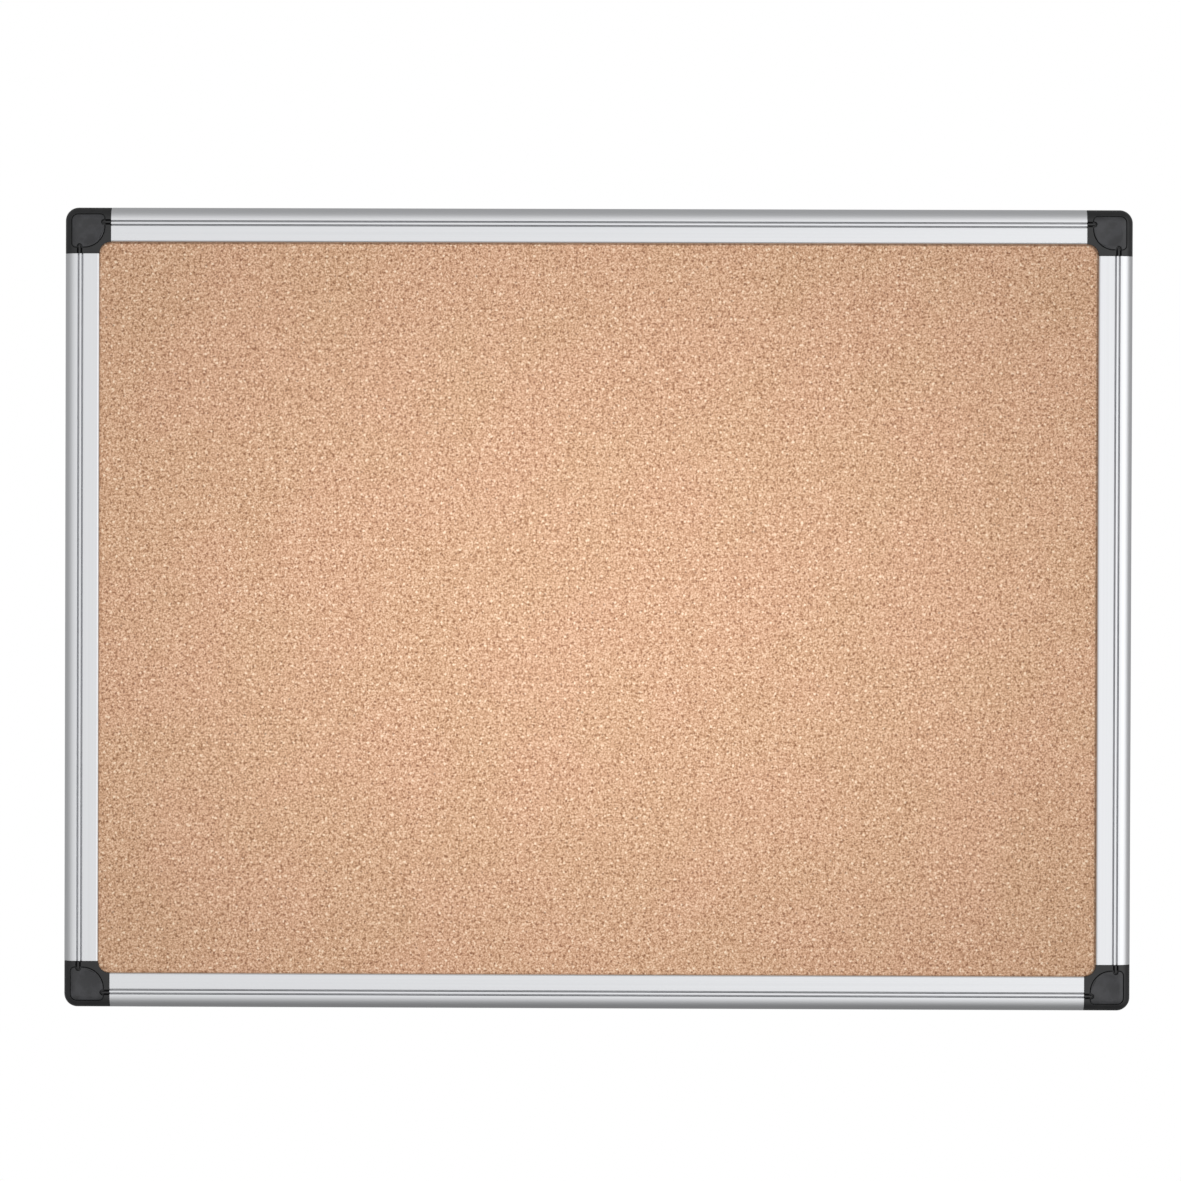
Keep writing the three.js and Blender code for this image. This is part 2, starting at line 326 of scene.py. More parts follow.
def cork_finish():
    material, graph = new_finish("pressed_cork")
    place = object_place(graph)
    right, up = graph.parts(place)[::2]
    sway = graph.noise(place, 900.0, 1.0) * UNEVEN
    lean = graph.noise(place, 760.0, 1.0) * UNEVEN
    face = graph.field("ShaderNodeCombineXYZ", {}, {"X": right + sway, "Y": up + lean, "Z": 0.0})
    granule, granule_own = face_cells(graph, face, GRANULE)
    crumb, crumb_own = face_cells(graph, face, CRUMB)
    fine = graph.noise(place, 1000.0, 2.0, 0.6)
    cloud = graph.noise(place, 70.0, 3.0, 0.6)
    own = (granule_own[0] + crumb_own[0]) * 0.05
    tone = 0.13 - granule * 0.22 - crumb * 0.27 + fine * 0.98 + cloud * 0.06 + own
    pale = flecks(graph, face, **PALE_FLECKS)
    dark = flecks(graph, face, **BARK_FLECKS)
    granules = graph.field("ShaderNodeValToRGB", {"stops": CORK_TONES}, {0: tone + pale * 0.30})
    specked = graph.blend(dark * 0.75, granules, BARK)
    hue = graph.between(graph.noise(place, 17.0, 2.0, 0.5), 0.36, 0.64)
    tinted = graph.blend(0.05, specked, graph.blend(hue, STRAW, PINK))
    # Painted shadow: a thin dark band along the frame's window, where the rails' lip shades the cork.
    rail_shadow = graph.between(window_margin(graph, face), *RAIL_SHADOW_BAND)
    set_surface(graph, {
        "Base Color": graph.blend(rail_shadow * 0.6, tinted, RAIL_SHADOW_BROWN),
        "Roughness": 0.72 + fine * 0.3,
        "Specular IOR Level": 0.25,
        "Normal": bump(graph, tone - dark * 0.4, 0.5, 0.0003),
    })
    return material


cork = cork_finish()
print("cork nodes:", len(cork.node_tree.nodes))

# %% [markdown]
# # Anodised aluminium
# The rails are drawn through a die and then etched and anodised. That leaves a satin metal with
# faint lines along the length only. The streaks read a place stored on the rail itself, whose
# first number runs along the rail, so they follow the upright rails as well as the level ones.
# The same streaks drive a very shallow bump, which spreads a highlight across the rail. The two
# grooves are painted greyer inside, as painted shade in the hollows.


# %% Aluminium finish
ALUMINIUM_DARK = (0.765, 0.770, 0.785, 1.0)
ALUMINIUM_LIGHT = (0.815, 0.820, 0.835, 1.0)
# Painted shade: the grey that the grooves' colour is pulled towards, and by how much.
GROOVE_PAINTED_SHADE = (0.22, 0.22, 0.23, 1.0)
GROOVE_SHADE_SHARE = 0.32


def groove_shade_mask(graph, run):
    """Where shade is painted: 1 below the face within the two grooves, and 0 on the rest of the rail."""
    back, across = graph.parts(run)[1:]
    wide = GROOVE_WIDE * MM
    first, last = (centre * MM for centre in RAIL_GROOVES)
    sunk = graph.between(back, 0.0001 - DEPTH * MM, 0.0006 - DEPTH * MM)
    past_first = graph.between(across, first - wide, first - wide / 2)
    past_last = graph.between(across, last + wide / 2, last + wide)
    return sunk * past_first * (1.0 - past_last)


def aluminium_finish():
    material, graph = new_finish("anodised_aluminium")
    run = graph.field("ShaderNodeAttribute", {"attribute_name": "run"}, {}, "Vector")
    drawn = graph.vector("MULTIPLY", run, (1.3, 6200.0, 6200.0))
    lines = graph.noise(drawn, 1.0, 3.0, 0.65)
    broad = graph.noise(graph.vector("MULTIPLY", run, (2.0, 700.0, 700.0)), 1.0, 2.0, 0.5)
    etch = graph.noise(object_place(graph), 5200.0, 2.0, 0.6)
    streaks = graph.between(lines * 0.6 + broad * 0.4, 0.3, 0.7)
    metal = graph.blend(streaks, ALUMINIUM_DARK, ALUMINIUM_LIGHT)
    set_surface(graph, {
        # Painted shade darkens the colour inside the grooves.
        "Base Color": graph.blend(groove_shade_mask(graph, run) * GROOVE_SHADE_SHARE, metal, GROOVE_PAINTED_SHADE),
        "Metallic": 1.0,
        "Roughness": 0.27 + lines * 0.10 + etch * 0.06,
        "Normal": bump(graph, lines * 0.8 + etch * 0.2, 0.35, 0.00003),
    })
    return material


aluminium = aluminium_finish()

# %% [markdown]
# # Moulded black plastic
# Corner blocks and covers come from a spark-eroded mould: nearly black, with a fine pebble that
# keeps the gloss soft. The covers are pressed in by thumb, so their sheen is less even where thumbs
# wear them. Soft light patches are also painted into the colour, as painted sheen for the uneven
# reflections on the glossy black. One function makes both finishes. Handling is how much rougher
# a worn patch is, and the sheen paling is how many times lighter a patch's colour is.


# %% Plastic finishes
def plastic_finish(name, colour, roughness, handling, sheen_paling):
    material, graph = new_finish(name)
    place = object_place(graph)
    pebble = graph.cells(place, 3600.0, {"feature": "SMOOTH_F1"})[0]
    grit = graph.noise(place, 6000.0, 2.0, 0.6)
    flow = graph.noise(place, 160.0, 3.0, 0.55)
    wear_and_sheen = graph.between(flow, 0.42, 0.62)
    sheen_colour = tuple(channel * sheen_paling for channel in colour[:3]) + (1.0,)
    set_surface(graph, {
        # Painted sheen: soft patches of lighter colour stand in for uneven reflections; the same patches
        # are rougher, as real wear.
        "Base Color": graph.blend(wear_and_sheen * 0.5 + grit * 0.5, colour, sheen_colour),
        "Roughness": roughness + grit * 0.08 + wear_and_sheen * handling,
        "IOR": 1.52,
        "Normal": bump(graph, pebble * 0.7 + grit * 0.3, 0.16, 0.00006),
    })
    return material


# The blocks' black is darker than the covers': painted shade for the blocks' dark rounded band, and painted
# light on the covers.
BLOCK_BLACK = (0.0065, 0.0065, 0.0070, 1.0)
COVER_BLACK = (0.0130, 0.0130, 0.0145, 1.0)
block_plastic = plastic_finish("moulded_black_block", BLOCK_BLACK, 0.30, handling=0.03, sheen_paling=2.0)
cover_plastic = plastic_finish("moulded_black_cover", COVER_BLACK, 0.26, handling=0.09, sheen_paling=3.4)
print("black finishes:", block_plastic.name, cover_plastic.name)

# %% [markdown]
# # Kraft sheet, softboard and zinc
# The back is brown kraft paper with short fibres lying every way and slow clouds in its colour.
# The softboard between is pressed wood fibre, seen only if the frame is taken apart. The screws
# are zinc plated, with a faint blue and yellow bloom from the passivating bath.


# %% Fibre finishes
def fibre_finish(name, dark, light, fibre_scale, depth):
    material, graph = new_finish(name)
    place = object_place(graph)
    level = graph.noise(graph.vector("MULTIPLY", place, (0.22, 1.0, 1.0)), fibre_scale, 3.0, 0.7)
    upright = graph.noise(graph.vector("MULTIPLY", place, (1.0, 1.0, 0.22)), fibre_scale, 3.0, 0.7)
    fibres = level * 0.5 + upright * 0.5
    cloud = graph.noise(place, 24.0, 4.0, 0.6)
    away = graph.cells(place, fibre_scale / 6.0, {"feature": "F1"})[0]
    specks = 1.0 - graph.between(away, 0.06, 0.13)
    tone = graph.between(fibres * 0.82 + cloud * 0.18, 0.36, 0.64)
    speck_colour = tuple(0.45 * channel for channel in dark[:3]) + (1.0,)
    set_surface(graph, {
        "Base Color": graph.blend(specks * 0.35, graph.blend(tone, dark, light), speck_colour),
        "Roughness": 0.74 + fibres * 0.22,
        "Specular IOR Level": 0.3,
        "Normal": bump(graph, fibres, 0.35, depth),
    })
    return material


KRAFT_TONES = ((0.285, 0.158, 0.078, 1.0), (0.44, 0.27, 0.148, 1.0))
BOARD_TONES = ((0.30, 0.19, 0.09, 1.0), (0.56, 0.40, 0.22, 1.0))
kraft = fibre_finish("kraft_paper", *KRAFT_TONES, fibre_scale=1500.0, depth=0.00012)
softboard = fibre_finish("softboard", *BOARD_TONES, fibre_scale=700.0, depth=0.0004)


# %% Zinc finish
def zinc_finish():
    material, graph = new_finish("zinc_plate")
    place = object_place(graph)
    bloom = graph.between(graph.noise(place, 420.0, 2.0, 0.5), 0.4, 0.6)
    crystal = graph.cells(place, 2600.0, {"feature": "F1"})[1][0]
    set_surface(graph, {
        "Base Color": graph.blend(bloom, (0.60, 0.63, 0.70, 1.0), (0.70, 0.66, 0.56, 1.0)),
        "Metallic": 1.0,
        "Roughness": 0.24 + crystal * 0.16,
        "Normal": bump(graph, crystal, 0.2, 0.00002),
    })
    return material


zinc = zinc_finish()
print("finishes:", [material.name for material in bpy.data.materials if material.node_tree])

# %% [markdown]
# # Solids in millimetres
# The mouldings are drawn as outlines in (along, inward) and raised to a height above the back
# plane, which is how the mould is cut. A loft joins a stack of such outlines, and a prism is a
# loft of two. Boolean cuts then make the pockets and holes, as the mould's cores do. A core runs
# a millimetre or two past the face it opens, so that it leaves no skin there.


# %% Outlines and lofts
PAST = 1.0


def arc(centre, radius, start, end, steps):
    """Points on a round stretch, as (along, inward); the angles are in degrees."""
    angles = [math.radians(start + (end - start) * step / steps) for step in range(steps + 1)]
    return [(centre[0] + radius * math.cos(a), centre[1] + radius * math.sin(a)) for a in angles]


def circle(centre, radius, steps):
    return arc(centre, radius, 0, 360 - 360 / steps, steps - 1)


def quarter(steps):
    """Angles over a quarter turn, in radians."""
    return [math.pi / 2 * step / steps for step in range(steps + 1)]


def new_object(name, mesh):
    made = bpy.data.objects.new(name, mesh)
    bpy.context.scene.collection.objects.link(made)
    return made


def keep(build, name):
    """Writes a bmesh into a new mesh and lets go of it."""
    mesh = bpy.data.meshes.new(name)
    build.to_mesh(mesh)
    build.free()
    return mesh


def skin(name, rows, weld=0.0):
    """A closed solid through rows of points, all of one length; weld joins points closer than that."""
    build = bmesh.new()
    rows = [[build.verts.new(point) for point in row] for row in rows]
    for near, far in zip(rows, rows[1:]):
        for i in range(len(near)):
            j = (i + 1) % len(near)
            build.faces.new((near[i], near[j], far[j], far[i]))
    build.faces.new(rows[0])
    build.faces.new(rows[-1])
    if weld:
        bmesh.ops.remove_doubles(build, verts=build.verts, dist=weld)
        bmesh.ops.dissolve_degenerate(build, edges=build.edges, dist=weld / 2)
    bmesh.ops.recalc_face_normals(build, faces=build.faces)
    return new_object(name, keep(build, name))


def loft(rings):
    """A solid through outlines with equal counts of points, each ring (outline, rise)."""
    return skin("loft", [[(x, -rise, z) for x, z in outline] for outline, rise in rings])


def prism(outline, low, high):
    return loft([(outline, low), (outline, high)])


def disc(radius, low, high, x, z, steps=32):
    return prism(circle((x, z), radius, steps), low, high)


def box_outline(x0, x1, z0, z1):
    return [(x0, z0), (x1, z0), (x1, z1), (x0, z1)]


def across(outline):
    """The same outline on the other side of the corner's diagonal."""
    return [(z, x) for x, z in reversed(outline)]


# %% Cutting and tidying a solid
def remove(*objects):
    for item in objects:
        mesh = item.data
        bpy.data.objects.remove(item)
        bpy.data.meshes.remove(mesh)


def settle(item):
    """Turns an object with modifiers into a plain mesh, and takes the modifiers off."""
    graph = bpy.context.evaluated_depsgraph_get()
    settled = bpy.data.meshes.new_from_object(item.evaluated_get(graph))
    old = item.data
    item.modifiers.clear()
    item.data = settled
    bpy.data.meshes.remove(old)
    return item


def combine(item, tools, operation):
    for tool in tools:
        step = item.modifiers.new("boolean", "BOOLEAN")
        step.operation = operation
        step.solver = "MANIFOLD"
        step.object = tool
    settle(item)
    remove(*tools)
    return item


def cut(item, *tools):
    return combine(item, tools, "DIFFERENCE")


def join(item, *tools):
    return combine(item, tools, "UNION")


def shade(item, crease):
    """Smooth shading, but crisp along edges that turn by more than the crease angle."""
    item.data.shade_smooth()
    item.data.set_sharp_from_angle(angle=math.radians(crease))


def weigh(item):
    """Makes the shading follow the large faces, so narrow bevels don't tint them."""
    weight = item.modifiers.new("weight", "WEIGHTED_NORMAL")
    weight.keep_sharp = True
    return settle(item)


WELD = 0.012
SLIVER = 0.004
FLAT_ANGLE = math.radians(0.6)
BEVEL_ANGLE = math.radians(38)


def soften(item, width, segments):
    """Rounds the sharp edges of a solid. A face left by a core can hold another outline, joined
    to its own by a slit. A bevel would bridge that slit, so such faces become triangles first."""
    build = bmesh.new()
    build.from_mesh(item.data)
    bmesh.ops.remove_doubles(build, verts=build.verts, dist=WELD)
    bmesh.ops.dissolve_degenerate(build, edges=build.edges, dist=SLIVER)
    bmesh.ops.dissolve_limit(build, angle_limit=FLAT_ANGLE, verts=build.verts, edges=build.edges)
    bmesh.ops.triangulate(build, faces=build.faces, ngon_method="EAR_CLIP")
    build.to_mesh(item.data)
    build.free()
    edge = item.modifiers.new("edge", "BEVEL")
    edge.width = width
    edge.segments = segments
    edge.limit_method = "ANGLE"
    edge.angle_limit = BEVEL_ANGLE
    edge.use_clamp_overlap = False
    edge.miter_outer = "MITER_ARC"
    shade(settle(item), 50)
    return weigh(item)


# %% Putting a piece in its place
SIDES = (
    {"rail": "bottom", "corner": "bottom_left", "x": -1, "z": -1, "length": WIDTH},
    {"rail": "right", "corner": "bottom_right", "x": 1, "z": -1, "length": HEIGHT},
    {"rail": "top", "corner": "top_right", "x": 1, "z": 1, "length": WIDTH},
    {"rail": "left", "corner": "top_left", "x": -1, "z": 1, "length": HEIGHT},
)


def side_place(turn):
    """From a side's own millimetres, starting at the board's outer corner, to the frame's metres."""
    side = SIDES[turn]
    corner = Vector((side["x"] * WIDTH / 2, 0, side["z"] * HEIGHT / 2)) * MM
    spin = Matrix.Rotation(-turn * math.pi / 2, 4, "Y")
    return Matrix.Translation(corner) @ spin @ Matrix.Scale(MM, 4)


def hand_over(item, name, body, nodes, finish):
    """Names a finished piece and says what it rides on, what it stands for and its finish."""
    item.name = name
    item.data.name = name
    item.data.materials.clear()
    item.data.materials.append(finish)
    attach(item, body)
    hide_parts(*nodes)
    return item


def triangles(item):
    return sum(len(face.vertices) - 2 for face in item.data.polygons)


def open_edges(item):
    build = bmesh.new()
    build.from_mesh(item.data)
    count = sum(1 for edge in build.edges if len(edge.link_faces) != 2)
    build.free()
    return count


print("sides:", [side["rail"] for side in SIDES])

# %% [markdown]
# # Shapes from Geometry Nodes
# A tree gets named inputs for its sizes, so one tree serves several pieces. Each input is set by
# its socket's identifier before the object is first evaluated. The tree ends by realising its
# instances and setting the material, and the result is kept as a plain mesh.


# %% A shape tree and how it is run
class Shape(Graph):
    """A Geometry Nodes tree with named inputs."""

    def __init__(self, name, inputs):
        super().__init__(bpy.data.node_groups.new(name, "GeometryNodeTree"))
        face = self.tree.interface
        self.sockets = {}
        for label, kind in {"Geometry": "Geometry", **inputs, "Material": "Material"}.items():
            made = face.new_socket(label, in_out="INPUT", socket_type="NodeSocket" + kind)
            self.sockets[label] = made.identifier
        face.new_socket("Geometry", in_out="OUTPUT", socket_type="NodeSocketGeometry")
        self.given = self.tree.nodes.new("NodeGroupInput")

    def input(self, label):
        return Field(self, self.given.outputs[label])

    def end(self, geometry):
        real = self.field("GeometryNodeRealizeInstances", {}, {0: geometry})
        painted = self.field("GeometryNodeSetMaterial", {}, {0: real, "Material": self.input("Material")})
        self.node("NodeGroupOutput", {}, {0: painted})

    def run(self, item, values):
        step = item.modifiers.new(self.tree.name, "NODES")
        step.node_group = self.tree
        for label, value in values.items():
            step[self.sockets[label]] = value
        return settle(item)


# %% [markdown]
# # Rails
# A rail is one die section drawn to length, so its shape follows a rule: a flat, hollow section
# swept along a line. The section is a mesh with the chamber left open in it. The tree extrudes it
# three times, so both sawn ends get the small deburred edge that a saw shop gives them, and then
# cuts the two countersinks for the frame screws. A curve sweep could not leave the chamber open.


# %% Rounded corners on a section
def rounded(corners, steps=4):
    """A closed outline from (across, rise, radius); a radius of 0 leaves the point as it is."""
    outline = []
    for i, (x, y, radius) in enumerate(corners):
        here = Vector((x, y))
        if radius == 0:
            outline.append(here)
            continue
        before = (Vector(corners[i - 1][:2]) - here).normalized()
        after = (Vector(corners[(i + 1) % len(corners)][:2]) - here).normalized()
        half = before.angle(after) / 2
        centre = here + (before + after).normalized() * radius / math.sin(half)
        start = here + before * radius / math.tan(half) - centre
        end = here + after * radius / math.tan(half) - centre
        turn = start.angle(end)
        for step in range(steps + 1):
            share = turn * step / steps
            spoke = (start * math.sin(turn - share) + end * math.sin(share)) / math.sin(turn)
            outline.append(centre + spoke)
    return outline


def elliptic(centre, wide, deep, start, end, steps):
    """Plain points on a stretch of an ellipse, ready for rounded()."""
    angles = [math.radians(start + (end - start) * step / steps) for step in range(steps + 1)]
    return [(centre[0] + wide * math.cos(a), centre[1] + deep * math.sin(a), 0) for a in angles]


# %% The rail's section, with its chamber
EDGE_ROUND = 0.12
FLOOR_ROUND = 0.04


def rail_outline():
    """The outline from the back edge over the rounded front, the V grooves and the lip to the slot."""
    corners = [(0, 0, BACK_ROUND)]
    corners += elliptic((ROUND_WIDE, DEPTH - ROUND_DEEP), ROUND_WIDE, ROUND_DEEP, 180, 90, 22)
    half = GROOVE_WIDE / 2
    for centre in RAIL_GROOVES:
        corners.append((centre - half, DEPTH, EDGE_ROUND))
        corners.append((centre - GROOVE_FLOOR, DEPTH - GROOVE_DEEP, FLOOR_ROUND))
        corners.append((centre + GROOVE_FLOOR, DEPTH - GROOVE_DEEP, FLOOR_ROUND))
        corners.append((centre + half, DEPTH, EDGE_ROUND))
    corners += elliptic((RAIL_FACE - LIP_WIDE, DEPTH - LIP_DEEP), LIP_WIDE, LIP_DEEP, 90, 0, 8)
    corners.append((RAIL_FACE, FLANGE_UNDERSIDE, 0.2))
    corners.append((SLOT_FLOOR, FLANGE_UNDERSIDE, 0.25))
    corners.append((SLOT_FLOOR, WALL, 0.25))
    corners.append((BACK_LIP, WALL, 0.25))
    corners.append((BACK_LIP, 0, 0.25))
    return rounded(corners)


def chamber_outline(inset):
    side = WALL + inset
    face = FLANGE_UNDERSIDE - inset
    middle = DEPTH - ROUND_DEEP
    corners = [(side, side, 0.4), (CHAMBER_END - inset, side, 0.4), (CHAMBER_END - inset, face, 0.4)]
    corners += elliptic((ROUND_WIDE, middle), ROUND_WIDE - side, face - middle, 90, 180, 12)
    return rounded(corners)


def inward_steps(outline):
    """For each point, a unit step into the metal, which lies to the right of the outline."""
    steps = []
    for i in range(len(outline)):
        run = (outline[(i + 1) % len(outline)] - outline[i - 1]).normalized()
        steps.append(Vector((0, run.x, run.y)))
    return steps


def section_mesh():
    loops = [rail_outline(), chamber_outline(0)]
    points = [point for loop in loops for point in loop]
    steps = [step for loop in loops for step in inward_steps(loop)]
    faces = tessellate_polygon([[point.to_3d() for point in loop] for loop in loops])
    mesh = bpy.data.meshes.new("section")
    mesh.from_pydata([(0, -point.y, point.x) for point in points], [], faces)
    mesh.update()
    if sum(face.normal.x for face in mesh.polygons) < 0:
        mesh.flip_normals()
    inset = mesh.attributes.new("inset", "FLOAT_VECTOR", "POINT")
    for entry, step in zip(inset.data, steps):
        entry.vector = step
    return mesh


section = section_mesh()
print("section points:", len(section.vertices), "faces:", len(section.polygons))


# %% The tree that draws a rail to length
def rail_shape():
    shape = Shape("drawn_rail", {
        "Length": "Float", "Deburr": "Float", "Screw Along": "Float", "Screw Inward": "Float",
        "Sink Radius": "Float", "Sink Depth": "Float",
    })
    length = shape.input("Length")
    deburr = shape.input("Deburr")
    inset = shape.field("GeometryNodeInputNamedAttribute", {"data_type": "FLOAT_VECTOR"}, {"Name": "inset"})
    shrink = shape.scaled(inset, deburr)
    grow = shape.scaled(inset, 0.0 - deburr)
    start = shape.field("GeometryNodeSetPosition", {}, {0: shape.input("Geometry"), "Offset": shrink})
    ahead = shape.field("ShaderNodeCombineXYZ", {}, {"X": 1.0})
    solid = start
    top = None
    for reach, change in ((deburr, grow), (length - deburr * 2.0, None), (deburr, shrink)):
        sockets = {"Mesh": solid, "Offset": ahead, "Offset Scale": reach, "Individual": False}
        if top:
            sockets["Selection"] = top
        drawn = shape.node("GeometryNodeExtrudeMesh", {"mode": "FACES"}, sockets)
        solid = Field(shape, drawn.outputs["Mesh"])
        top = Field(shape, drawn.outputs["Top"])
        if change:
            sockets = {0: solid, "Selection": top, "Offset": change}
            solid = shape.field("GeometryNodeSetPosition", {}, sockets)
    back_end = shape.field("GeometryNodeFlipFaces", {}, {0: start})
    joined = shape.node("GeometryNodeJoinGeometry")
    shape.plug(joined.inputs[0], solid)
    shape.plug(joined.inputs[0], back_end)
    closed = shape.field("GeometryNodeMergeByDistance", {}, {0: joined.outputs[0], "Distance": 0.0005})
    bored = rail_countersinks(shape, closed, length)
    place = shape.field("GeometryNodeInputPosition")
    stored = shape.field(
        "GeometryNodeStoreNamedAttribute", {"data_type": "FLOAT_VECTOR", "domain": "POINT"},
        {0: bored, "Name": "run", "Value": shape.scaled(place, MM)},
    )
    shape.end(stored)
    return shape


def rail_countersinks(shape, solid, length):
    """Cuts a cone into the back wall near each end of the rail, from a little way behind it."""
    radius = shape.input("Sink Radius")
    depth = shape.input("Sink Depth")
    cone = shape.field(
        "GeometryNodeMeshCone", {"fill_type": "NGON"},
        {"Vertices": 40, "Radius Top": radius - depth, "Radius Bottom": radius, "Depth": depth},
    )
    inward = shape.input("Screw Inward")
    for along in (shape.input("Screw Along"), length - shape.input("Screw Along")):
        place = shape.field("ShaderNodeCombineXYZ", {}, {"X": along, "Y": SINK_OUT, "Z": inward})
        sockets = {0: cone, "Translation": place, "Rotation": (math.pi / 2, 0.0, 0.0)}
        sink = shape.field("GeometryNodeTransform", {}, sockets)
        bored = shape.node("GeometryNodeMeshBoolean", {"operation": "DIFFERENCE", "solver": "MANIFOLD"})
        shape.plug(bored.inputs["Mesh 1"], solid)
        shape.plug(bored.inputs["Mesh 2"], sink)
        solid = Field(shape, bored.outputs["Mesh"])
    return solid


# %% Draw the four rails
DEBURR = 0.12
RAIL_START = CORNER + JOINT_GAP
rail_tree = rail_shape()
for turn, side in enumerate(SIDES):
    rail = new_object("rail", section.copy())
    rail_tree.run(rail, {
        "Length": side["length"] - 2 * RAIL_START,
        "Deburr": DEBURR,
        "Screw Along": SCREW_ALONG - RAIL_START,
        "Screw Inward": SCREW_INWARD,
        "Sink Radius": HEAD_RADIUS + 2 * CAD_GAP + SINK_OUT,
        "Sink Depth": WALL + 2 * CAD_GAP,
        "Material": aluminium,
    })
    shade(rail, 40)
    weigh(rail)
    rail.data.transform(side_place(turn) @ Matrix.Translation((RAIL_START, 0, 0)))
    name = "drawn_rail_" + side["rail"]
    hand_over(rail, name, "frame", ["rail_" + side["rail"]], aluminium)
    print(name, triangles(rail), "triangles,", open_edges(rail), "open edges")
bpy.data.meshes.remove(section)

# %% [markdown]
# # Corner blocks
# A block carries the rail's rounded edge round the corner, so its body is a loft: the same plan
# outline, drawn in step by step as it rises. Cores then leave the cover's seat, the V-shaped loops
# in which the rails' grooves end, the screw's well and the ribbed pockets behind. Two tongues that
# slide into the rails are joined on. All four blocks are one moulding, turned a quarter each time.


# %% Outlines of the moulding
GROOVE_LOW, GROOVE_HIGH = CORNER_GROOVES
GROOVE_MIDDLE = (GROOVE_LOW + GROOVE_HIGH) / 2
LOOP_OUTER = (GROOVE_HIGH - GROOVE_LOW + GROOVE_WIDE) / 2
LOOP_INNER = (GROOVE_HIGH - GROOVE_LOW - GROOVE_WIDE) / 2


def edge_rings():
    """(inset, rise) up the rounded outer edge, from the back to the front."""
    back = [(BACK_ROUND * (1 - math.sin(a)), BACK_ROUND * (1 - math.cos(a))) for a in quarter(3)]
    low = DEPTH - ROUND_DEEP
    front = [(ROUND_WIDE * (1 - math.cos(a)), low + ROUND_DEEP * math.sin(a)) for a in quarter(14)]
    return back + front


def outer_corner(inset):
    centre = (CORNER_RADIUS, CORNER_RADIUS)
    return arc(centre, CORNER_RADIUS - inset, 180, 270, 14)


def block_outline(inset):
    far = RAIL_FACE + WINDOW_RADIUS
    inner = arc((far, far), WINDOW_RADIUS, 270, 180, 14)
    start = [(CORNER, inset), (CORNER, RAIL_FACE)]
    return start + inner + [(RAIL_FACE, CORNER), (inset, CORNER)] + outer_corner(inset)


def crown_outline(inset):
    reach = 4 * CORNER
    return [(reach, inset), (reach, reach), (inset, reach)] + outer_corner(inset)


def cover_outline(grow):
    low = COVER_START - grow
    high = COVER_END + grow
    outer = COVER_OUTER_RADIUS + grow
    side = COVER_SIDE_RADIUS + grow
    round_end = COVER_ARC_RADIUS + grow
    return (
        arc((low + outer, low + outer), outer, 180, 270, 8)
        + arc((high - side, low + side), side, 270, 360, 8)
        + arc((high - round_end, high - round_end), round_end, 0, 90, 16)
        + arc((low + side, high - side), side, 90, 180, 8)
    )


def finger_outline(end, half):
    """A bar midway between the two grooves, with a round end, that runs out past the joint."""
    out = CORNER + PAST
    tip = arc((end + half, GROOVE_MIDDLE), half, 90, 270, 12)
    return [(out, GROOVE_MIDDLE - half), (out, GROOVE_MIDDLE + half)] + tip


# %% Cores that leave the hollows
LOOP_SHAPE = (GROOVE_END, LOOP_OUTER)
FINGER_SHAPE = (GROOVE_END + GROOVE_WIDE, LOOP_INNER)


def upright_bars(end, half, low, high):
    outline = finger_outline(end, half)
    return [prism(outline, low, high), prism(across(outline), low, high)]


def leaning_bars(end, half, lean, high, low=None):
    """Two bars whose flanks lean in from the front face down to the loop's floor; with a low, they
    go straight on down to it."""
    foot = finger_outline(end + lean, half - lean)
    face = finger_outline(end, half)
    rings = [(foot, DEPTH - LOOP_DEEP), (face, DEPTH), (face, high)]
    if low is not None:
        rings.insert(0, (foot, low))
    return [loft(rings), loft([(across(outline), rise) for outline, rise in rings])]


def loop_cores():
    """The two U-shaped grooves: each a tapered bar with a tapered finger left standing in it."""
    lean = GROOVE_WIDE / 2 - GROOVE_FLOOR
    fingers = leaning_bars(*FINGER_SHAPE, -lean, DEPTH + 2 * PAST, 0)
    bars = leaning_bars(*LOOP_SHAPE, lean, DEPTH + PAST)
    return [cut(bar, finger) for bar, finger in zip(bars, fingers)]


def cover_pegs(radius, low, high):
    return [disc(radius, low, high, x, z, 24) for x, z in PEGS]


def back_pockets():
    low = SHELL_WALL
    high = CORNER - SHELL_WALL
    slant = PANEL_CUT - 2 - high
    rounding = arc((CORNER_RADIUS, CORNER_RADIUS), CORNER_RADIUS - low, 180, 270, 10)
    outline = rounding + [(high, low), (high, slant), (slant, high), (low, high)]
    straight = box_outline(HOLE_INSET, CORNER, HOLE_INSET - RIB / 2, HOLE_INSET + RIB / 2)
    lean = RIB / math.sqrt(2)
    diagonal = [(low - lean, low), (low, low - lean), (high, high - lean), (high - lean, high)]
    span = (-2 * PAST, POCKET_RISE + PAST)
    ribs = [prism(shape, *span) for shape in (straight, across(straight), diagonal)]
    boss = disc(BOSS_RADIUS, *span, HOLE_INSET, HOLE_INSET, 40)
    return cut(prism(outline, -PAST, POCKET_RISE), boss, *ribs)


def cover_seat():
    seat = prism(cover_outline(COVER_LINE), COVER_SEAT, DEPTH + PAST)
    return cut(seat, *upright_bars(*FINGER_SHAPE, COVER_SEAT - PAST, DEPTH + 2 * PAST))


def panel_room():
    out = CORNER + PAST
    slant = PANEL_CUT - out
    return prism([(out, slant), (out, out), (slant, out)], WALL, FLANGE_UNDERSIDE)


# %% Tongues that slide into the rails
LEAD_LONG = 0.6
LEAD_IN = 0.35
PILOT_END = SCREW_LENGTH + 0.7


